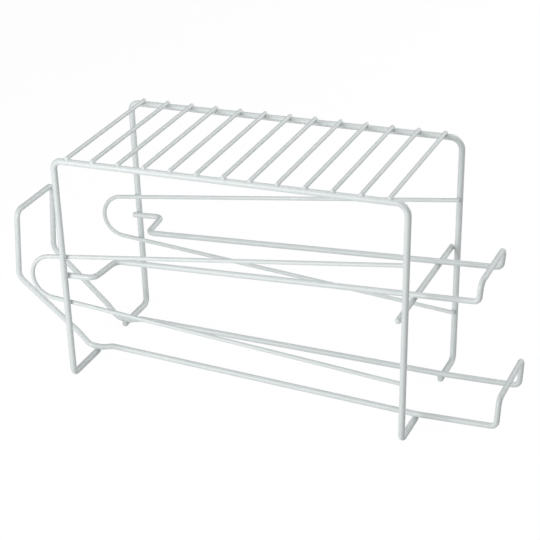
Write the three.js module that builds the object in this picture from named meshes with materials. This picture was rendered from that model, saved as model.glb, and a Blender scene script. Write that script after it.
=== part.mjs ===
// A free-standing can rack of welded, coated steel wire.
// Cans go in at the upper front, roll back down the upper tier, drop at the rear hoop
// and roll forward down the lower tier to its front lip. A wire shelf lies on top.
// +X is the front of the rack, +Y its right side, +Z up. All sizes are in millimetres.
import * as THREE from 'three';

// Wire diameters, coating included.
const frameWire = 5.2;
const tierWire = 4.7;
const shelfWire = 3.4;
const guardWire = 3.4;

// Clearance between two wires where a weld joins them. Crossing wires are set down into
// each other by the weld, so the thinner or lower one is pressed flat there.
const weldGap = 0.3;
const weldSetDown = 0.7;
const weldRamp = 1;

// Side frames. Heights are from the floor to the wire's centre line.
const frameSpacing = 140;
const railSpan = 292;
const rearRailHeight = 191.7;
const shelfTilt = THREE.MathUtils.degToRad(2);
const rearFootInset = 8.4;
const frontFootOutset = 1.2;
const rearRailBend = 6.7;
const frontRailBend = 9.5;
const footBend = 5.7;
const footOverhang = 2.3;

// Shelf of straight wires on the top rails, spread evenly between the first and the last,
// which lie at these distances from the rail's rear and front corners. They end flush with
// the rails' outer faces and are set down deeper than the other wires.
const shelfWireCount = 13;
const firstShelfWire = 12.2;
const lastShelfWire = 14.2;
const shelfSetDown = 1.2;

// Upper tier, bent flat in a plane that falls to the rear, with its front end turned up.
const upperRearHeight = 90.1;
const upperSlope = THREE.MathUtils.degToRad(4);
const upperRearSpacing = 61;
const upperFrontSpacing = 65;
const upperReach = 46.3;
const upperLipHeight = 16.6;
const upperLipLean = 1.2;
const upperTailOverhang = 3.8;
const upperTailLength = 23.9;
const upperJogSlant = 2.9;
const upperJogBend = 6.5;
const upperRiserBend = 4.8;
const upperLipBend = 6.2;

// Wire under the upper tier, on the rear side of the front legs.
const supportOverhang = 2.8;

// Lower tier, a closed ring that lies on the feet.
const lowerRearSpacing = 54;
const lowerFrontSpacing = 70;
const lowerReach = 65.8;
const lowerFrontRise = 2.8;
const lowerLipHeight = 24.6;
const lowerLipLean = 1.1;
const lowerRiserBend = 5.2;
const lowerLipBend = 5.8;
const footKinkBend = 60;

// Hump of the lower rails in front of the rear feet.
const humpRunUp = 4.5;
const humpReach = 15;
const humpHeight = 2.8;
const humpBend = 10;

// Hoop at the rear of the lower tier. Its slope is a little steeper below the kink.
const hoopReach = 69.5;
const hoopHeel = 6.6;
const hoopKinkReach = 17;
const hoopKinkHeight = 17.8;
const hoopSpacing = 61.5;
const hoopElbowHeight = 61.9;
const hoopHeight = 122.3;
const hoopLean = 2;
const hoopHeelBend = 10;
const hoopKinkBend = 25;
const hoopElbowBend = 11.5;
const hoopTopBend = 6.5;

// Side guards: heights where the hairpin's two wires cross the legs.
const guardTopRear = 106.8;
const guardTopFront = 150.3;
const guardBottomRear = 66.7;
const guardBottomFront = 48.9;
const guardReach = 32.2;
const guardFrontOverhang = 1;

// Facets of the wires.
const wireSides = 12;
const bendStep = THREE.MathUtils.degToRad(16);
const tipShare = 0.55;
const tipRings = [0, 0.2, 0.5, 1];
const tipFlat = 0.5;

// Coating.
const coatingColor = 0xd8dedc;
const coatingRoughness = 0.42;

// The centre line of a bent wire: straights joined by round bends. It has a station wherever
// the wire starts or stops turning, a few in each bend, and a few at each free tip.
// A corner without a bend is a plain stop on a straight.
class WireRoute extends THREE.Curve {
  constructor(corners, tipLength) {
    super();
    this.closed = tipLength === 0;
    this.stations = [];
    const points = corners.map((corner) => corner.at);
    const last = corners.length - 1;
    this.addTip(points[0], direction(points[0], points[1]), tipLength, tipRings);
    for (let i = 1; i < last; i += 1) {
      if (corners[i].bend) {
        this.addBend(points[i - 1], points[i], points[i + 1], corners[i].bend);
      } else {
        this.stations.push({ at: points[i], along: direction(points[i - 1], points[i]) });
      }
    }
    const outward = direction(points[last - 1], points[last]);
    this.addTip(points[last], outward, -tipLength, [...tipRings].reverse());
  }

  addTip(end, along, length, rings) {
    const depths = this.closed ? [0] : rings.map((ring) => ring * length);
    for (const depth of depths) {
      this.stations.push({ at: end.clone().addScaledVector(along, depth), along });
    }
  }

  addBend(before, corner, after, radius) {
    const into = direction(before, corner);
    const outOf = direction(corner, after);
    const turn = into.angleTo(outOf);
    const axis = new THREE.Vector3().crossVectors(into, outOf).normalize();
    const inward = new THREE.Vector3().crossVectors(axis, into);
    const start = corner.clone().addScaledVector(into, -radius * Math.tan(turn / 2));
    const centre = start.clone().addScaledVector(inward, radius);
    const steps = Math.max(2, Math.ceil(turn / bendStep));
    for (let i = 0; i <= steps; i += 1) {
      const angle = (turn * i) / steps;
      const arm = inward.clone().multiplyScalar(-radius).applyAxisAngle(axis, angle);
      const along = into.clone().applyAxisAngle(axis, angle);
      this.stations.push({ at: centre.clone().add(arm), along });
    }
  }

  stationAt(u) {
    return this.stations[Math.round(u * (this.stations.length - 1))];
  }

  getPointAt(u) {
    return this.stationAt(u).at.clone();
  }

  getTangentAt(u) {
    return this.stationAt(u).along.clone();
  }

  // Turns the sections little by little, so that the flats at the end lie as at the start.
  // A ring ends in the very section that it starts from.
  computeFrenetFrames(steps) {
    const frames = super.computeFrenetFrames(steps, false);
    const { tangents, normals, binormals } = frames;
    const across = new THREE.Vector3().crossVectors(normals[steps], normals[0]);
    const twist = Math.atan2(across.dot(tangents[steps]), normals[steps].dot(normals[0]));
    const flatTurn = (2 * Math.PI) / wireSides;
    const turn = this.closed ? twist : twist - Math.round(twist / flatTurn) * flatTurn;
    for (let i = 1; i <= steps; i += 1) {
      normals[i].applyAxisAngle(tangents[i], (turn * i) / steps);
      binormals[i].crossVectors(tangents[i], normals[i]);
    }
    if (this.closed) {
      normals[steps].copy(normals[0]);
      binormals[steps].copy(binormals[0]);
    }
    return frames;
  }
}

function direction(from, to) {
  return to.clone().sub(from).normalize();
}

// The wire's section, with its flats at the true radius.
function wireSection(diameter) {
  const radius = diameter / 2 / Math.cos(Math.PI / wireSides);
  const points = [];
  for (let i = 0; i < wireSides; i += 1) {
    const angle = ((i + 0.5) * 2 * Math.PI) / wireSides;
    points.push(new THREE.Vector2(radius * Math.cos(angle), radius * Math.sin(angle)));
  }
  return new THREE.Shape(points);
}

// Draws the sections near a free end in, so that the coated tip is rounded.
function roundTip(positions, end, inward, diameter) {
  const tipLength = tipShare * (diameter / 2);
  const point = new THREE.Vector3();
  for (let i = 0; i < positions.count; i += 1) {
    point.fromBufferAttribute(positions, i).sub(end);
    const depth = point.dot(inward);
    if (point.length() < diameter && depth < tipLength) {
      const share = Math.max(tipFlat, Math.sqrt(1 - (1 - Math.max(depth, 0) / tipLength) ** 2));
      point.addScaledVector(inward, -depth).multiplyScalar(share).addScaledVector(inward, depth);
    }
    point.add(end);
    positions.setXYZ(i, point.x, point.y, point.z);
  }
}

// Presses a wire flat on one side, at equal distances from the rack's middle plane:
// whatever stands past the level along the normal is moved back onto it.
function pressFlat(wire, normal, level, innerY, outerY) {
  const positions = wire.geometry.getAttribute('position');
  const point = new THREE.Vector3();
  for (let i = 0; i < positions.count; i += 1) {
    point.fromBufferAttribute(positions, i);
    const excess = point.dot(normal) - level;
    const y = Math.abs(point.y);
    if (excess > 0 && y > innerY - weldRamp / 2 && y < outerY + weldRamp / 2) {
      point.addScaledVector(normal, -excess);
      positions.setXYZ(i, point.x, point.y, point.z);
    }
  }
}

// One bent wire as a closed solid. A route whose ends meet becomes a ring without end faces.
function bentWire(name, diameter, corners) {
  const ends = [corners[0].at, corners[corners.length - 1].at];
  const isRing = ends[0].equals(ends[1]);
  const tipLength = isRing ? 0 : tipShare * (diameter / 2);
  const route = new WireRoute(corners, tipLength);
  const steps = route.stations.length - 1;
  let geometry = new THREE.ExtrudeGeometry(wireSection(diameter), { steps, extrudePath: route });
  if (isRing) {
    geometry = sideWalls(geometry);
  } else {
    const positions = geometry.getAttribute('position');
    roundTip(positions, ends[0], route.stations[0].along, diameter);
    roundTip(positions, ends[1], route.stations[steps].along.clone().negate(), diameter);
  }
  const material = new THREE.MeshStandardMaterial({
    color: coatingColor,
    roughness: coatingRoughness,
    metalness: 0,
  });
  const wire = new THREE.Mesh(geometry, material);
  wire.name = name;
  return wire;
}

// The swept walls of an extrusion, without its two lids.
function sideWalls(extrusion) {
  const walls = extrusion.groups[1];
  const all = extrusion.getAttribute('position').array;
  const geometry = new THREE.BufferGeometry();
  const kept = all.slice(walls.start * 3, (walls.start + walls.count) * 3);
  geometry.setAttribute('position', new THREE.BufferAttribute(kept, 3));
  return geometry;
}

// Corner of a route: where the straights would meet, and the bend's radius on the centre line.
function corner(x, y, z, bend) {
  return { at: new THREE.Vector3(x, y, z), bend };
}

// A straight wire across the rack, with stops at the given distances from its middle plane,
// outermost first.
function crossWire(name, diameter, x, z, stops) {
  const inward = stops.map((y) => corner(x, -y, z));
  const outward = stops.map((y) => corner(x, y, z)).reverse();
  return bentWire(name, diameter, [...inward, ...outward]);
}

// The frame's corners, with x = 0 at the middle of the top rail.
const frontRailHeight = rearRailHeight + railSpan * Math.tan(shelfTilt);
const footHeight = frameWire / 2;
const lowerSeat = frameWire - weldSetDown + tierWire / 2;
const rearLeg = {
  top: new THREE.Vector2(-railSpan / 2, rearRailHeight),
  foot: new THREE.Vector2(-railSpan / 2 + rearFootInset, footHeight),
};
const frontLeg = {
  top: new THREE.Vector2(railSpan / 2, frontRailHeight),
  foot: new THREE.Vector2(railSpan / 2 + frontFootOutset, footHeight),
};

// Where a leg's centre line is at a height above the floor.
function legX(leg, height) {
  const share = (height - leg.foot.y) / (leg.top.y - leg.foot.y);
  return THREE.MathUtils.lerp(leg.foot.x, leg.top.x, share);
}

// Half the distance between two wires that are welded to the frames' inner faces.
function insideFrames(diameter) {
  return frameSpacing / 2 - frameWire / 2 - weldGap - diameter / 2;
}

function sideFrame(name, side) {
  const y = (side * frameSpacing) / 2;
  const foot = (leg, railSpacing) => {
    const tip = railSpacing / 2 - footOverhang;
    const flatEnd = railSpacing / 2 + tierWire / 2;
    const stop = (out) => corner(leg.foot.x, side * out, footHeight);
    const heel = corner(leg.foot.x, y, footHeight, footBend);
    return { tip, flatEnd, route: [stop(tip), stop(flatEnd), stop(flatEnd + weldRamp), heel] };
  };
  const rearFoot = foot(rearLeg, lowerRearSpacing);
  const frontFoot = foot(frontLeg, lowerFrontSpacing);
  const frame = bentWire(name, frameWire, [
    ...rearFoot.route,
    corner(rearLeg.top.x, y, rearLeg.top.y, rearRailBend),
    corner(frontLeg.top.x, y, frontLeg.top.y, frontRailBend),
    ...frontFoot.route.reverse(),
  ]);
  const up = new THREE.Vector3(0, 0, 1);
  const flatLevel = lowerSeat - tierWire / 2 - weldGap;
  pressFlat(frame, up, flatLevel, rearFoot.tip, rearFoot.flatEnd);
  pressFlat(frame, up, flatLevel, frontFoot.tip, frontFoot.flatEnd);
  return frame;
}

function shelfWires() {
  const along = new THREE.Vector3(Math.cos(shelfTilt), 0, Math.sin(shelfTilt));
  const down = new THREE.Vector3(along.z, 0, -along.x);
  const railStart = new THREE.Vector3(rearLeg.top.x, 0, rearLeg.top.y);
  const railLength = railSpan / along.x;
  const pitch = (railLength - firstShelfWire - lastShelfWire) / (shelfWireCount - 1);
  const lift = (frameWire + shelfWire) / 2 - shelfSetDown;
  const flatLevel = railStart.dot(down) - frameWire / 2 - weldGap;
  const tip = (frameSpacing + frameWire) / 2;
  const flatEnd = (frameSpacing - frameWire) / 2;
  const wires = [];
  for (let i = 0; i < shelfWireCount; i += 1) {
    const place = railStart.clone().addScaledVector(along, firstShelfWire + i * pitch);
    place.addScaledVector(down, -lift);
    const name = `shelf_wire_${String(i + 1).padStart(2, '0')}`;
    const wire = crossWire(name, shelfWire, place.x, place.z, [tip, flatEnd, flatEnd - weldRamp]);
    pressFlat(wire, down, flatLevel, flatEnd, tip);
    wires.push(wire);
  }
  return wires;
}

// The upper tier's places along X, and its sloping plane.
const upperWeldX = legX(rearLeg, upperRearHeight);
const upperJogX = upperWeldX + upperTailLength;
const upperRailX = upperJogX + upperJogSlant;
const upperRiserX = legX(frontLeg, upperRearHeight) + upperReach;

function upperHeight(x) {
  return upperRearHeight + (x - upperWeldX) * Math.tan(upperSlope);
}

function upperRailY(x) {
  return THREE.MathUtils.mapLinear(x, upperRailX, upperRiserX, upperRearSpacing / 2, upperFrontSpacing / 2);
}

function upperTier() {
  const tailY = insideFrames(tierWire);
  const tailEnd = upperWeldX - upperTailOverhang;
  const lipX = upperRiserX + upperLipLean;
  const lipZ = upperHeight(upperRiserX) + upperLipHeight;
  const half = (side) => [
    corner(tailEnd, side * tailY, upperHeight(tailEnd)),
    corner(upperJogX, side * tailY, upperHeight(upperJogX), upperJogBend),
    corner(upperRailX, side * upperRailY(upperRailX), upperHeight(upperRailX), upperJogBend),
    corner(upperRiserX, side * upperRailY(upperRiserX), upperHeight(upperRiserX), upperRiserBend),
    corner(lipX, side * upperRailY(upperRiserX), lipZ, upperLipBend),
  ];
  return bentWire('upper_tier', tierWire, [...half(-1), ...half(1).reverse()]);
}

function tierSupport() {
  const up = new THREE.Vector3(-Math.sin(upperSlope), 0, Math.cos(upperSlope));
  const legSide = legX(frontLeg, upperHeight(frontLeg.top.x)) - frameWire / 2;
  const x = legSide - weldGap - tierWire / 2;
  const railY = upperRailY(x);
  const rail = new THREE.Vector3(x, railY, upperHeight(x));
  const z = rail.z - (tierWire - weldSetDown) / up.z;
  const tip = frameSpacing / 2 + supportOverhang;
  const flats = [railY + tierWire / 2, railY - tierWire / 2];
  const stops = [tip, flats[0] + weldRamp, ...flats, flats[1] - weldRamp];
  const support = crossWire('tier_support', tierWire, x, z, stops);
  pressFlat(support, up, rail.dot(up) - tierWire / 2 - weldGap, flats[1], flats[0]);
  return support;
}

function lowerTier() {
  const rearX = rearLeg.foot.x;
  const frontX = frontLeg.foot.x;
  const rearY = lowerRearSpacing / 2;
  const frontY = lowerFrontSpacing / 2;
  const hoopY = hoopSpacing / 2;
  const kinkY = THREE.MathUtils.mapLinear(hoopKinkReach, hoopHeel, hoopReach, rearY, hoopY);
  const hoopX = rearX - hoopReach;
  const riserX = frontX + lowerReach;
  const riserZ = lowerSeat + lowerFrontRise;
  const half = (side) => [
    corner(hoopX + hoopLean, side * hoopY, hoopHeight, hoopTopBend),
    corner(hoopX, side * hoopY, hoopElbowHeight, hoopElbowBend),
    corner(rearX - hoopKinkReach, side * kinkY, hoopKinkHeight, hoopKinkBend),
    corner(rearX - hoopHeel, side * rearY, lowerSeat, hoopHeelBend),
    corner(rearX + humpRunUp, side * rearY, lowerSeat, humpBend),
    corner(rearX + humpReach, side * rearY, lowerSeat + humpHeight, humpBend),
    corner(frontX, side * frontY, lowerSeat, footKinkBend),
    corner(riserX, side * frontY, riserZ, lowerRiserBend),
    corner(riserX + lowerLipLean, side * frontY, riserZ + lowerLipHeight, lowerLipBend),
  ];
  const start = corner(hoopX + hoopLean, 0, hoopHeight);
  return bentWire('lower_tier', tierWire, [start, ...half(-1), ...half(1).reverse(), start]);
}

// The hairpin's nose is one full round between its two wires.
function sideGuard(name, side) {
  const y = side * insideFrames(guardWire);
  const line = (rearZ, frontZ) => {
    const rear = new THREE.Vector2(legX(rearLeg, rearZ), rearZ);
    const front = new THREE.Vector2(legX(frontLeg, frontZ), frontZ);
    const slope = (front.y - rear.y) / (front.x - rear.x);
    return { slope, end: front.x + guardFrontOverhang, at: (x) => rear.y + (x - rear.x) * slope };
  };
  const top = line(guardTopRear, guardTopFront);
  const bottom = line(guardBottomRear, guardBottomFront);
  const noseX = legX(rearLeg, (guardTopRear + guardBottomRear) / 2) - guardReach;
  const topTurn = Math.PI / 2 - Math.atan(top.slope);
  const bottomTurn = Math.PI / 2 + Math.atan(bottom.slope);
  const noseHeight = top.at(noseX) - bottom.at(noseX);
  const noseBend = noseHeight / (Math.tan(topTurn / 2) + Math.tan(bottomTurn / 2));
  return bentWire(name, guardWire, [
    corner(top.end, y, top.at(top.end)),
    corner(noseX, y, top.at(noseX), noseBend),
    corner(noseX, y, bottom.at(noseX), noseBend),
    corner(bottom.end, y, bottom.at(bottom.end)),
  ]);
}

const rack = new THREE.Group();
rack.add(sideFrame('side_frame_left', -1), sideFrame('side_frame_right', 1));
rack.add(...shelfWires());
rack.add(upperTier(), tierSupport(), lowerTier());
rack.add(sideGuard('guard_left', -1), sideGuard('guard_right', 1));

// The origin is on the floor, under the middle of the rack.
const box = new THREE.Box3().setFromObject(rack);
rack.position.x = -(box.min.x + box.max.x) / 2;

export default rack;
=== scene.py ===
# A free-standing can rack of welded, coated steel wire, on a pale studio floor.
# Every wire is swept along the route of its solid. Where two wires are welded, the coating
# of each is drawn up to the other, so that they join in a smooth fillet.
import math

import bpy
import numpy as np
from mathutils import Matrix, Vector


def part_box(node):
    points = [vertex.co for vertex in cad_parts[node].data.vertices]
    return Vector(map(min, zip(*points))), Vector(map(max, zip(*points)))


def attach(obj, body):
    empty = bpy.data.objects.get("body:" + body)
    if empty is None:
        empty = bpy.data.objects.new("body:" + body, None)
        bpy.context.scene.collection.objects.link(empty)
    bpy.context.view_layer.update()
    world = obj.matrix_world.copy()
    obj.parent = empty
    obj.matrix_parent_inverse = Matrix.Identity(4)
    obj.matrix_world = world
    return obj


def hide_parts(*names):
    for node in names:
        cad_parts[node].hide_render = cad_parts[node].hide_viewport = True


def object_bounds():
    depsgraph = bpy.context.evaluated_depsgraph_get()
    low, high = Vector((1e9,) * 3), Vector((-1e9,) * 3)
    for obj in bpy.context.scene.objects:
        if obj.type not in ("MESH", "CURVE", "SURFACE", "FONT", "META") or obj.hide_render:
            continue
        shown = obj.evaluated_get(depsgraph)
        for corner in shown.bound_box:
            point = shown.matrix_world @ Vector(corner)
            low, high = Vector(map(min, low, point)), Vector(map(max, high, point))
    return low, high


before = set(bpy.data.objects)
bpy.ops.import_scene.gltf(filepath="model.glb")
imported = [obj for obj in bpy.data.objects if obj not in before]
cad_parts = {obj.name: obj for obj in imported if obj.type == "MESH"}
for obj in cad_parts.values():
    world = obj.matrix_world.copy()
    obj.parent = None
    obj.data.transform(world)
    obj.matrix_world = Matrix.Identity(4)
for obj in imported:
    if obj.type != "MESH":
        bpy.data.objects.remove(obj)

cad_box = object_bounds()
mm_per_metre = 1000

# Driving sizes of the rack in millimetres, with angles in degrees.
# +X is the front of the rack, +Y its right side, +Z up.
frame_wire = 5.2
tier_wire = 4.7
shelf_wire = 3.4
guard_wire = 3.4
weld_gap = 0.3
weld_set_down = 0.7

# Side frames. Heights are from the floor to the wire's centre line.
frame_spacing = 140
rail_span = 292
rear_rail_height = 191.7
shelf_tilt = 2
rear_foot_inset = 8.4
front_foot_outset = 1.2
rear_rail_bend = 6.7
front_rail_bend = 9.5
foot_bend = 5.7
foot_overhang = 2.3

# Shelf. The insets are how far its wires stop short of the rails' outer faces.
shelf_wire_count = 13
first_shelf_wire = 12.2
last_shelf_wire = 14.2
shelf_set_down = 1.2
shelf_left_inset = 1.5
shelf_right_inset = 0.3

# Upper tier and the wire that carries its front.
upper_rear_height = 90.1
upper_slope = 4
upper_rear_spacing = 61
upper_front_spacing = 65
upper_reach = 46.3
upper_lip_height = 16.6
upper_lip_lean = 1.2
upper_tail_overhang = 3.8
upper_tail_length = 23.9
upper_jog_slant = 2.9
upper_jog_bend = 6.5
upper_riser_bend = 4.8
upper_lip_bend = 6.2
support_overhang = 2.8

# Lower tier: its rails and front lip, the hump in front of the rear feet, and the rear hoop.
lower_rear_spacing = 54
lower_front_spacing = 70
lower_reach = 65.8
lower_front_rise = 2.8
lower_lip_height = 24.6
lower_lip_lean = 1.1
lower_riser_bend = 5.2
lower_lip_bend = 5.8
foot_kink_bend = 60
hump_run_up = 4.5
hump_reach = 15
hump_height = 2.8
hump_bend = 10
hoop_reach = 69.5
hoop_heel = 6.6
hoop_kink_reach = 17
hoop_kink_height = 17.8
hoop_spacing = 61.5
hoop_elbow_height = 61.9
hoop_height = 122.3
hoop_lean = 2
hoop_heel_bend = 10
hoop_kink_bend = 25
hoop_elbow_bend = 11.5
hoop_top_bend = 6.5

# Hairpin guards.
guard_top_rear = 106.8
guard_top_front = 150.3
guard_bottom_rear = 66.7
guard_bottom_front = 48.9
guard_reach = 32.2
guard_front_overhang = 1

# Fineness of the swept wires. A tip's share is its rounded length in wire radii, and steep
# is the upward part of a direction past which its first section is set out from X.
wire_sides = 24
straight_step = 3
bend_step = math.radians(5)
least_bend_points = 3
cut_tip_share = 0.6
shelf_tip_share = 1
tip_squareness = 2.6
tip_rings = 6
steep = 0.9

# Welds: how they are found, how finely they are cut, and how far the coating runs together.
weld_probe = 1
weld_step = 0.35
least_step = weld_step / 3
weld_reach = 4.5
weld_search = 2 * weld_reach
weld_line_points = 17
weld_blend = 1.5
weld_blend_spread = 0.35
weld_blend_start = 1
weld_blend_turn = 5.3
weld_bury = 0.15
weld_climb_steps = 28
# How far the painted shade at each weld reaches out from the other wire.
weld_shade_reach = 2.2
tiny = 1e-9

# Slow waves in the coating: depth in wire radii, lengths, and turns that keep them out of step.
coat_ripple = 0.004
coat_wave_lengths = (7.3, 11.9, 19.0)
wave_stretch_y = 1.3
wave_stretch_z = 0.9
wave_turns = (1.7, 0.6, 2.1)

# Look of the coating: scales per metre, spreads of noise about a half, shares and colours.
specular_level = 0.4
cloud_scale = 55
cloud_spread = 0.2
cloud_dark = (0.646, 0.691, 0.688)
cloud_light = (0.678, 0.719, 0.716)
grain_scale = 900
grain_spread = 0.15
grain_share = 0.12
grain_colour = (0.8, 0.82, 0.8)
# Painted shade at the welds: a darker grey in the crevices, broken into patches.
weld_shade_scale = 420
weld_shade_spread = 0.12
weld_shade_share = 0.12
weld_shade_colour = (0.42, 0.44, 0.43)
speck_scale = 75
speck_radius = 0.035
speck_share = 0.7
speck_colour = (0.33, 0.28, 0.2)
sheen_scale = 160
sheen_spread = 0.2
least_rough = 0.3
most_rough = 0.42
peel_scale = 650
nib_scale = 190
nib_radius = 0.055
nib_height = 1.4
dot_core = 0.55
bump_strength = 0.1
bump_distance = 0.00012

# Studio, in metres: the floor, its shade and glow for the camera and for other rays, the surround.
floor_half = 12
floor_drop = 0.0002
floor_roughness = 0.9
seen_shade = 0.06
seen_glow = 0.955
bounce_shade = 0.5
bounce_glow = 0.2
surround_light = 0.108
backdrop_light = 1
light_target = Vector((0, 0, 0.1))

# Camera, fitted to the photograph's view.
camera_azimuth = 21.818
camera_elevation = 25.794
camera_place = (0.48858, -1.20603, 0.72063)
camera_sensor = 36
camera_lens = 118.31


def unit(vector):
    return vector / np.linalg.norm(vector)


def corner(x, y, z, bend=0):
    """Corner of a route: where the straights would meet, and the bend's centre-line radius."""
    return np.array([x, y, z], float), bend


class Wire:
    """One bent wire: its centre line as points with their directions, and its welds."""

    def __init__(self, node, diameter, corners, tip_share=cut_tip_share):
        self.node = node
        self.radius = diameter / 2
        self.tip = tip_share * self.radius
        self.ring = bool(np.allclose(corners[0][0], corners[-1][0]))
        self.points = [corners[0][0]]
        self.along = [unit(corners[1][0] - corners[0][0])]
        for before, (at, bend), after in zip(corners, corners[1:], corners[2:]):
            self.add_bend(before[0], at, after[0], bend)
        self.points.append(corners[-1][0])
        self.along.append(unit(corners[-1][0] - corners[-2][0]))
        self.points = np.array(self.points)
        self.along = np.array(self.along)
        gaps = np.linalg.norm(np.diff(self.points, axis=0), axis=1)
        self.places = np.concatenate([[0], np.cumsum(gaps)])
        self.length = self.places[-1]
        self.welds = []

    def add_bend(self, before, at, after, bend):
        into = unit(at - before)
        out_of = unit(after - at)
        turn = math.acos(np.clip(into @ out_of, -1, 1))
        inward = unit(out_of - into * (into @ out_of))
        start = at - into * bend * math.tan(turn / 2)
        points = max(least_bend_points, math.ceil(turn / bend_step) + 1)
        for angle in np.linspace(0, turn, points):
            arc = into * math.sin(angle) + inward * (1 - math.cos(angle))
            self.points.append(start + arc * bend)
            self.along.append(into * math.cos(angle) + inward * math.sin(angle))

    def at(self, places):
        """Points and directions at distances along the wire."""
        points = np.stack([np.interp(places, self.places, c) for c in self.points.T], axis=-1)
        along = np.stack([np.interp(places, self.places, c) for c in self.along.T], axis=-1)
        return points, along / np.linalg.norm(along, axis=-1, keepdims=True)

    def stations(self):
        """Distances along the wire of its sections: close together in bends and at welds."""
        kept = [self.places]
        for start, end in zip(self.places, self.places[1:]):
            kept.append(np.linspace(start, end, math.ceil((end - start) / straight_step) + 1))
        for place, *_ in self.welds:
            kept.append(np.arange(place - weld_reach, place + weld_reach, weld_step))
        tip = 0 if self.ring else self.tip
        places = np.unique(np.concatenate(kept))
        places = places[(places > tip) & (places < self.length - tip)]
        places = places[np.diff(places, prepend=-1) > least_step]
        return np.concatenate([[tip], places, [] if self.ring else [self.length - tip]])


def sections(along, ring):
    """Two directions across the wire at each station, carried along without twist."""
    across = np.empty_like(along)
    start = np.array([0, 0, 1.0])
    if abs(along[0][2]) > steep:
        start = np.array([1.0, 0, 0])
    across[0] = unit(start - along[0] * (start @ along[0]))
    for i in range(1, len(along)):
        across[i] = unit(across[i - 1] - along[i] * (across[i - 1] @ along[i]))
    if ring:
        last = unit(across[-1] - along[0] * (across[-1] @ along[0]))
        twist = math.atan2(np.cross(last, across[0]) @ along[0], last @ across[0])
        turns = np.linspace(0, twist, len(along), endpoint=False)[:, None]
        across = across * np.cos(turns) + np.cross(along, across) * np.sin(turns)
    return across, np.cross(along, across)


def ripple(points):
    """Unevenness of the coating, from 0 to 1, as slow waves that each span -2 to 2."""
    turn_x, turn_y, turn_z = wave_turns
    total = np.zeros(len(points))
    for i, wave in enumerate(coat_wave_lengths):
        x, y, z = (points * (2 * math.pi / wave)).T
        total += np.sin(x + turn_x * i) * np.sin(wave_stretch_y * y + turn_y * i)
        total += np.sin(wave_stretch_z * z + y + turn_z * i)
    return 0.5 + total / (4 * len(coat_wave_lengths))


def tip_caps(wire, centres, along, spokes):
    """Rings that draw each end of the wire in to a rounded tip, from its full section outward."""
    rise = np.linspace(0, math.pi / 2, tip_rings, endpoint=False)[1:]
    shares = np.cos(rise) ** (2 / tip_squareness)
    depths = np.sin(rise) ** (2 / tip_squareness) * wire.tip
    caps = []
    for end, outward in ((0, -1), (-1, 1)):
        outs = depths[:, None, None] * along[end] * outward
        caps.append(centres[end] + outs + wire.radius * shares[:, None, None] * spokes[end])
    return caps


def swept(wire):
    """Vertices and faces of the wire as a closed surface, with rounded tips."""
    places = wire.stations()
    centres, along = wire.at(places)
    first, second = sections(along, wire.ring)
    angles = np.linspace(0, 2 * math.pi, wire_sides, endpoint=False)[None, :, None]
    spokes = np.cos(angles) * first[:, None] + np.sin(angles) * second[:, None]
    rings = centres[:, None] + wire.radius * spokes
    if not wire.ring:
        start_cap, end_cap = tip_caps(wire, centres, along, spokes)
        rings = np.concatenate([start_cap[::-1], rings, end_cap])
    count = len(rings)
    vertices = rings.reshape(-1, 3)
    bands = count if wire.ring else count - 1
    row = np.arange(bands)[:, None] * wire_sides
    next_row = (row + wire_sides) % (count * wire_sides)
    side = np.arange(wire_sides)[None, :]
    next_side = (side + 1) % wire_sides
    quads = [row + side, next_row + side, next_row + next_side, row + next_side]
    faces = np.stack(quads, axis=-1).reshape(-1, 4)[:, ::-1].tolist()
    if not wire.ring:
        poles = wire.at(np.array([0, wire.length]))[0]
        vertices = np.concatenate([vertices, poles])
        last = (count - 1) * wire_sides
        pole = count * wire_sides
        for i in range(wire_sides):
            j = (i + 1) % wire_sides
            faces.append([pole, j, i])
            faces.append([pole + 1, last + i, last + j])
    return vertices, faces


def distance_to_line(spots, line):
    """Distance from each spot to a line of short straights."""
    best = np.full(spots.shape[:-1], np.inf)
    for start, end in zip(line, line[1:]):
        span = end - start
        share = np.clip((spots - start) @ span / (span @ span), 0, 1)
        gaps = np.linalg.norm(spots - start - share[..., None] * span, axis=-1)
        best = np.minimum(best, gaps)
    return best


def run_together(near, far, blend):
    """Distance to two wires whose coatings run together."""
    share = np.maximum(blend - np.abs(near - far), 0) / blend
    return np.minimum(near, far) - share**2 * blend / 4


def line_near(wire, place):
    """The wire's centre line to both sides of a place, clear of its rounded tips."""
    tip = 0 if wire.ring else wire.radius
    spread = np.linspace(-weld_search, weld_search, weld_line_points)
    return wire.at(np.unique(np.clip(place + spread, tip, wire.length - tip)))[0]


def draw_to_welds(wire, vertices, normals):
    """Lifts the surface near each weld to the fillet there, and tells how near welds are."""
    lift = np.zeros(len(vertices))
    weld_shade_mask = np.zeros(len(vertices))
    climb = np.linspace(0, weld_blend * (1 + weld_blend_spread), weld_climb_steps)
    for place, other, other_place, blend in wire.welds:
        spot = wire.at(np.array([place]))[0]
        near = np.flatnonzero(np.linalg.norm(vertices - spot, axis=1) < weld_search)
        spots = vertices[near, None] + climb[None, :, None] * normals[near, None]
        gap = distance_to_line(spots, line_near(other, other_place)) - other.radius
        level = run_together(climb[None], gap, blend)
        met = (level >= 0) | (gap < -weld_bury)
        met[:, -1] = True
        step = met.argmax(axis=1)
        before = np.maximum(step - 1, 0)
        rows = np.arange(len(near))
        low = level[rows, before]
        high = level[rows, step]
        part = np.where(high > 0, low / np.minimum(low - high, -tiny), 1)
        height = climb[before] + part * climb[1]
        height[step == 0] = 0
        lift[near] = np.maximum(lift[near], height)
        # Painted shade: a grey that fades with the gap to the other wire, darkening the crevice.
        weld_shade = np.exp(-(np.maximum(gap[:, 0], 0) / weld_shade_reach) ** 2)
        weld_shade_mask[near] = np.maximum(weld_shade_mask[near], weld_shade)
    return vertices + lift[:, None] * normals, weld_shade_mask


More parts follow.
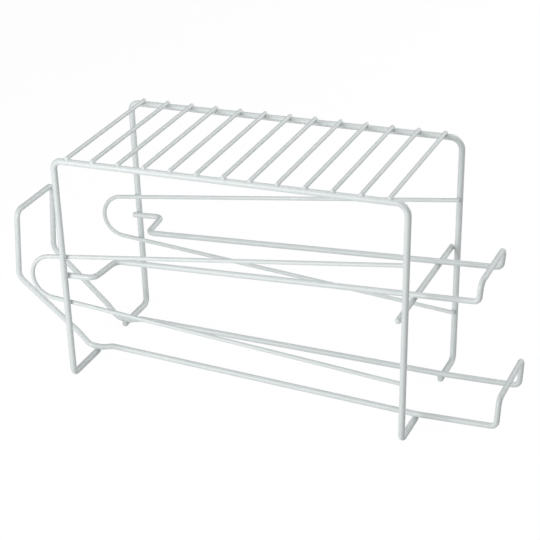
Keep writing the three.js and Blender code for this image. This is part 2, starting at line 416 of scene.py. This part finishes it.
def find_welds(wires):
    """A weld is wherever two routes pass each other at about the sum of their radii."""
    probes = [np.arange(0, wire.length, weld_probe) for wire in wires]
    lines = [wire.at(places)[0] for wire, places in zip(wires, probes)]
    count = 0
    for i, wire in enumerate(wires):
        for j in range(i + 1, len(wires)):
            limit = wire.radius + wires[j].radius + weld_gap + weld_probe / 2
            gaps = np.linalg.norm(lines[i][:, None] - lines[j][None], axis=-1)
            while gaps.min() < limit:
                a, b = np.unravel_index(gaps.argmin(), gaps.shape)
                place, other_place = probes[i][a], probes[j][b]
                turn = weld_blend_start + weld_blend_turn * count
                blend = weld_blend * (1 + weld_blend_spread * math.sin(turn))
                wire.welds.append((place, wires[j], other_place, blend))
                wires[j].welds.append((other_place, wire, place, blend))
                count += 1
                gaps[np.abs(probes[i] - place) < 2 * weld_search] = np.inf


# The frame's corners, with x = 0 at the middle of the top rail.
tilt = math.radians(shelf_tilt)
slope = math.radians(upper_slope)
front_rail_height = rear_rail_height + rail_span * math.tan(tilt)
foot_height = frame_wire / 2
lower_seat = frame_wire - weld_set_down + tier_wire / 2
rear_leg = ((-rail_span / 2 + rear_foot_inset, foot_height), (-rail_span / 2, rear_rail_height))
front_leg = ((rail_span / 2 + front_foot_outset, foot_height), (rail_span / 2, front_rail_height))


def leg_x(leg, height):
    """Where a leg's centre line is at a height above the floor."""
    (foot_x, foot_z), (top_x, top_z) = leg
    return foot_x + (top_x - foot_x) * (height - foot_z) / (top_z - foot_z)


def inside_frames(diameter):
    """Half the distance between two wires that are welded to the frames' inner faces."""
    return frame_spacing / 2 - frame_wire / 2 - weld_gap - diameter / 2


def side_frame(node, side):
    y = side * frame_spacing / 2

    def foot(leg, rail_spacing):
        x, z = leg[0]
        tip_y = side * (rail_spacing / 2 - foot_overhang)
        return [corner(x, tip_y, z), corner(x, y, z, foot_bend)]

    rear_top = corner(rear_leg[1][0], y, rear_leg[1][1], rear_rail_bend)
    front_top = corner(front_leg[1][0], y, front_leg[1][1], front_rail_bend)
    rear_foot = foot(rear_leg, lower_rear_spacing)
    front_foot = foot(front_leg, lower_front_spacing)
    return Wire(node, frame_wire, [*rear_foot, rear_top, front_top, *front_foot[::-1]])


def shelf_wires():
    lift = (frame_wire + shelf_wire) / 2 - shelf_set_down
    outer_face = (frame_spacing + frame_wire) / 2
    left_tip = shelf_left_inset - outer_face
    right_tip = outer_face - shelf_right_inset
    rail_length = rail_span / math.cos(tilt)
    for i in range(shelf_wire_count):
        share = i / (shelf_wire_count - 1)
        place = first_shelf_wire + share * (rail_length - first_shelf_wire - last_shelf_wire)
        x = rear_leg[1][0] + place * math.cos(tilt) - lift * math.sin(tilt)
        z = rear_leg[1][1] + place * math.sin(tilt) + lift * math.cos(tilt)
        ends = [corner(x, left_tip, z), corner(x, right_tip, z)]
        yield Wire(f"shelf_wire_{i + 1:02d}", shelf_wire, ends, shelf_tip_share)


# The upper tier's places along X, and its sloping plane.
upper_weld_x = leg_x(rear_leg, upper_rear_height)
upper_jog_x = upper_weld_x + upper_tail_length
upper_rail_x = upper_jog_x + upper_jog_slant
upper_riser_x = leg_x(front_leg, upper_rear_height) + upper_reach


def upper_height(x):
    return upper_rear_height + (x - upper_weld_x) * math.tan(slope)


def upper_tier():
    tail_y = inside_frames(tier_wire)
    tail_end = upper_weld_x - upper_tail_overhang
    rear_y = upper_rear_spacing / 2
    front_y = upper_front_spacing / 2
    lip_z = upper_height(upper_riser_x) + upper_lip_height

    def half(side):
        return [
            corner(tail_end, side * tail_y, upper_height(tail_end)),
            corner(upper_jog_x, side * tail_y, upper_height(upper_jog_x), upper_jog_bend),
            corner(upper_rail_x, side * rear_y, upper_height(upper_rail_x), upper_jog_bend),
            corner(upper_riser_x, side * front_y, upper_height(upper_riser_x), upper_riser_bend),
            corner(upper_riser_x + upper_lip_lean, side * front_y, lip_z, upper_lip_bend),
        ]

    return Wire("upper_tier", tier_wire, half(-1) + half(1)[::-1])


def support_x():
    leg_side = leg_x(front_leg, upper_height(front_leg[1][0])) - frame_wire / 2
    return leg_side - weld_gap - tier_wire / 2


def tier_support():
    x = support_x()
    z = upper_height(x) - (tier_wire - weld_set_down) / math.cos(slope)
    tip = frame_spacing / 2 + support_overhang
    return Wire("tier_support", tier_wire, [corner(x, -tip, z), corner(x, tip, z)])


def lower_tier():
    rear_x = rear_leg[0][0]
    front_x = front_leg[0][0]
    hoop_x = rear_x - hoop_reach
    riser_x = front_x + lower_reach
    riser_z = lower_seat + lower_front_rise
    lip_x = riser_x + lower_lip_lean
    kink_share = (hoop_kink_reach - hoop_heel) / (hoop_reach - hoop_heel)

    def half(side):
        hoop_y = side * hoop_spacing / 2
        rear_y = side * lower_rear_spacing / 2
        front_y = side * lower_front_spacing / 2
        kink_y = rear_y + kink_share * (hoop_y - rear_y)
        return [
            corner(hoop_x + hoop_lean, hoop_y, hoop_height, hoop_top_bend),
            corner(hoop_x, hoop_y, hoop_elbow_height, hoop_elbow_bend),
            corner(rear_x - hoop_kink_reach, kink_y, hoop_kink_height, hoop_kink_bend),
            corner(rear_x - hoop_heel, rear_y, lower_seat, hoop_heel_bend),
            corner(rear_x + hump_run_up, rear_y, lower_seat, hump_bend),
            corner(rear_x + hump_reach, rear_y, lower_seat + hump_height, hump_bend),
            corner(front_x, front_y, lower_seat, foot_kink_bend),
            corner(riser_x, front_y, riser_z, lower_riser_bend),
            corner(lip_x, front_y, riser_z + lower_lip_height, lower_lip_bend),
        ]

    start = corner(hoop_x + hoop_lean, 0, hoop_height)
    return Wire("lower_tier", tier_wire, [start, *half(-1), *half(1)[::-1], start])


def side_guard(node, side):
    y = side * inside_frames(guard_wire)

    def line(rear_z, front_z):
        """A straight of the guard: its rise, its front end, and its height at any x."""
        rear_x = leg_x(rear_leg, rear_z)
        front_x = leg_x(front_leg, front_z)
        rise = (front_z - rear_z) / (front_x - rear_x)
        return rise, front_x + guard_front_overhang, lambda x: rear_z + (x - rear_x) * rise

    top_rise, top_end, top_z = line(guard_top_rear, guard_top_front)
    bottom_rise, bottom_end, bottom_z = line(guard_bottom_rear, guard_bottom_front)
    nose_x = leg_x(rear_leg, (guard_top_rear + guard_bottom_rear) / 2) - guard_reach
    top_turn = math.pi / 2 - math.atan(top_rise)
    bottom_turn = math.pi / 2 + math.atan(bottom_rise)
    nose_height = top_z(nose_x) - bottom_z(nose_x)
    nose_bend = nose_height / (math.tan(top_turn / 2) + math.tan(bottom_turn / 2))
    return Wire(node, guard_wire, [
        corner(top_end, y, top_z(top_end)),
        corner(nose_x, y, top_z(nose_x), nose_bend),
        corner(nose_x, y, bottom_z(nose_x), nose_bend),
        corner(bottom_end, y, bottom_z(bottom_end)),
    ])


def wire_material():
    """White coating: faint clouds of tone, fine grain, a few specks, painted shade at the welds."""
    material = bpy.data.materials.new("coated_wire")
    material.use_nodes = True
    tree = material.node_tree
    shader = tree.nodes["Principled BSDF"]
    shader.inputs["Metallic"].default_value = 0
    shader.inputs["Specular IOR Level"].default_value = specular_level
    place = tree.nodes.new("ShaderNodeTexCoord").outputs["Object"]

    def noise(scale, detail):
        node = tree.nodes.new("ShaderNodeTexNoise")
        node.inputs["Scale"].default_value = scale
        node.inputs["Detail"].default_value = detail
        tree.links.new(place, node.inputs["Vector"])
        return node.outputs["Fac"]

    def ranged(value, low, high, start, end):
        node = tree.nodes.new("ShaderNodeMapRange")
        node.inputs["From Min"].default_value = low
        node.inputs["From Max"].default_value = high
        node.inputs["To Min"].default_value = start
        node.inputs["To Max"].default_value = end
        tree.links.new(value, node.inputs["Value"])
        return node.outputs["Result"]

    def about_half(value, spread, start, end):
        return ranged(value, 0.5 - spread, 0.5 + spread, start, end)

    def mixed(share, first, second):
        node = tree.nodes.new("ShaderNodeMix")
        node.data_type = "RGBA"
        tree.links.new(share, node.inputs["Factor"])
        for socket, colour in (("A", first), ("B", second)):
            target = next(s for s in node.inputs if s.name == socket and s.type == "RGBA")
            if isinstance(colour, tuple):
                target.default_value = (*colour, 1)
            else:
                tree.links.new(colour, target)
        return next(s for s in node.outputs if s.type == "RGBA")

    def dots(scale, radius):
        node = tree.nodes.new("ShaderNodeTexVoronoi")
        node.inputs["Scale"].default_value = scale
        tree.links.new(place, node.inputs["Vector"])
        return ranged(node.outputs["Distance"], radius, radius * dot_core, 0, 1)

    def times(first, second):
        node = tree.nodes.new("ShaderNodeMath")
        node.operation = "MULTIPLY"
        tree.links.new(first, node.inputs[0])
        if isinstance(second, (int, float)):
            node.inputs[1].default_value = second
        else:
            tree.links.new(second, node.inputs[1])
        return node.outputs["Value"]

    def plus(first, second):
        node = tree.nodes.new("ShaderNodeMath")
        tree.links.new(first, node.inputs[0])
        tree.links.new(second, node.inputs[1])
        return node.outputs["Value"]

    clouds = about_half(noise(cloud_scale, detail=3), cloud_spread, 0, 1)
    grain = about_half(noise(grain_scale, detail=2), grain_spread, 0, grain_share)
    # Painted shade at the welds: nearness to a weld, in patches, greys the coating.
    weld = tree.nodes.new("ShaderNodeAttribute")
    weld.attribute_name = "weld"
    shade_patches = about_half(noise(weld_shade_scale, detail=3), weld_shade_spread, 0, weld_shade_share)
    weld_shade = times(weld.outputs["Fac"], shade_patches)
    specks = times(dots(speck_scale, speck_radius), speck_share)
    colour = mixed(clouds, cloud_dark, cloud_light)
    colour = mixed(grain, colour, grain_colour)
    colour = mixed(weld_shade, colour, weld_shade_colour)
    colour = mixed(specks, colour, speck_colour)
    tree.links.new(colour, shader.inputs["Base Color"])
    roughness = about_half(noise(sheen_scale, detail=3), sheen_spread, least_rough, most_rough)
    tree.links.new(roughness, shader.inputs["Roughness"])

    peel = noise(peel_scale, detail=1)
    nibs = times(dots(nib_scale, nib_radius), nib_height)
    bump = tree.nodes.new("ShaderNodeBump")
    bump.inputs["Strength"].default_value = bump_strength
    bump.inputs["Distance"].default_value = bump_distance
    tree.links.new(plus(peel, nibs), bump.inputs["Height"])
    tree.links.new(bump.outputs["Normal"], shader.inputs["Normal"])
    return material


def make_piece(wire, shift, material):
    vertices, faces = swept(wire)
    mesh = bpy.data.meshes.new(wire.node)
    mesh.from_pydata(vertices.tolist(), [], faces)
    normals = np.empty(len(vertices) * 3, np.float32)
    mesh.vertex_normals.foreach_get("vector", normals)
    normals = normals.reshape(-1, 3).astype(float)
    placed, weld_shade_mask = draw_to_welds(wire, vertices, normals)
    placed -= normals * (coat_ripple * wire.radius * ripple(vertices))[:, None]
    placed[:, 0] += shift
    mesh.vertices.foreach_set("co", (placed / mm_per_metre).astype(np.float32).ravel())
    weld = mesh.attributes.new("weld", "FLOAT", "POINT")
    weld.data.foreach_set("value", weld_shade_mask.astype(np.float32))
    mesh.shade_smooth()
    mesh.materials.append(material)
    piece = bpy.data.objects.new(f"{wire.node}_coated", mesh)
    bpy.context.scene.collection.objects.link(piece)
    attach(piece, "root")
    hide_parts(wire.node)


def make_rack():
    """Every wire of the rack, moved along X to where the solids are."""
    wires = [side_frame("side_frame_left", -1), side_frame("side_frame_right", 1), *shelf_wires()]
    wires += [upper_tier(), tier_support(), lower_tier()]
    wires += [side_guard("guard_left", -1), side_guard("guard_right", 1)]
    find_welds(wires)
    support_low, support_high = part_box("tier_support")
    shift = (support_low[0] + support_high[0]) / 2 * mm_per_metre - support_x()
    coating = wire_material()
    for wire in wires:
        make_piece(wire, shift, coating)


def split_rays(tree, seen, unseen, surface):
    """The camera sees one shader, and all other rays meet the other."""
    choice = tree.nodes.new("ShaderNodeMixShader")
    rays = tree.nodes.new("ShaderNodeLightPath")
    tree.links.new(rays.outputs["Is Camera Ray"], choice.inputs["Fac"])
    tree.links.new(unseen, choice.inputs[1])
    tree.links.new(seen, choice.inputs[2])
    tree.links.new(choice.outputs["Shader"], surface)


def floor_material():
    """Pale floor that lights the rack softly from below. The camera sees it just short of white."""
    material = bpy.data.materials.new("pale_floor")
    material.cycles.emission_sampling = "NONE"
    material.use_nodes = True
    tree = material.node_tree
    seen = tree.nodes["Principled BSDF"]
    bounce = tree.nodes.new("ShaderNodeBsdfPrincipled")
    finishes = ((seen, seen_shade, seen_glow), (bounce, bounce_shade, bounce_glow))
    for shader, shade, glow in finishes:
        shader.inputs["Base Color"].default_value = (shade, shade, shade, 1)
        shader.inputs["Roughness"].default_value = floor_roughness
        shader.inputs["Specular IOR Level"].default_value = 0
        shader.inputs["Emission Color"].default_value = (1, 1, 1, 1)
        shader.inputs["Emission Strength"].default_value = glow
    surface = tree.nodes["Material Output"].inputs["Surface"]
    split_rays(tree, seen.outputs["BSDF"], bounce.outputs["BSDF"], surface)
    return material


def make_floor():
    mesh = bpy.data.meshes.new("floor")
    signs = ((-1, -1), (1, -1), (1, 1), (-1, 1))
    corners = [(floor_half * x, floor_half * y, 0) for x, y in signs]
    mesh.from_pydata(corners, [], [(0, 1, 2, 3)])
    mesh.materials.append(floor_material())
    floor = bpy.data.objects.new("floor", mesh)
    floor.location.z = cad_box[0].z - floor_drop
    bpy.context.scene.collection.objects.link(floor)


def outward(azimuth, elevation):
    """Direction from the rack to a place round it. Azimuth 0 is its left side, 90 its front."""
    a, e = math.radians(azimuth), math.radians(elevation)
    return Vector((math.sin(a) * math.cos(e), -math.cos(a) * math.cos(e), math.sin(e)))


def make_light(name, azimuth, elevation, distance, size, power, gloss=True):
    """A square soft box that faces the rack. Without gloss it leaves no highlight on the wires."""
    away = outward(azimuth, elevation)
    lamp = bpy.data.lights.new(name, "AREA")
    lamp.size = size
    lamp.energy = power
    light = bpy.data.objects.new(name, lamp)
    light.location = light_target + away * distance
    light.rotation_mode = "QUATERNION"
    light.rotation_quaternion = (-away).to_track_quat("-Z", "Y")
    light.visible_camera = False
    light.visible_glossy = gloss
    bpy.context.scene.collection.objects.link(light)


def make_lights():
    make_light("key", azimuth=-20, elevation=8, distance=1.3, size=0.8, power=15.8)
    make_light("back_right", azimuth=150, elevation=30, distance=1.3, size=1.6, power=11.2)
    make_light("right", azimuth=110, elevation=20, distance=1.3, size=0.8, power=2.3, gloss=False)
    make_light("top", azimuth=0, elevation=89, distance=0.75, size=0.5, power=2.2, gloss=False)


def make_world():
    """Even light from all round. The camera itself sees a plain white beyond the floor."""
    world = bpy.data.worlds.new("studio")
    world.use_nodes = True
    tree = world.node_tree
    fill = tree.nodes["Background"]
    backdrop = tree.nodes.new("ShaderNodeBackground")
    for node, strength in ((fill, surround_light), (backdrop, backdrop_light)):
        node.inputs["Color"].default_value = (1, 1, 1, 1)
        node.inputs["Strength"].default_value = strength
    surface = tree.nodes["World Output"].inputs["Surface"]
    split_rays(tree, backdrop.outputs["Background"], fill.outputs["Background"], surface)
    bpy.context.scene.world = world


def make_camera():
    look = -outward(camera_azimuth, camera_elevation)
    data = bpy.data.cameras.new("camera")
    data.sensor_width = camera_sensor
    data.lens = camera_lens
    camera = bpy.data.objects.new("camera", data)
    camera.location = camera_place
    camera.rotation_mode = "QUATERNION"
    camera.rotation_quaternion = look.to_track_quat("-Z", "Y")
    bpy.context.scene.collection.objects.link(camera)
    bpy.context.scene.camera = camera


make_rack()
make_floor()
make_lights()
make_world()
make_camera()
bpy.context.scene.view_settings.view_transform = "Standard"
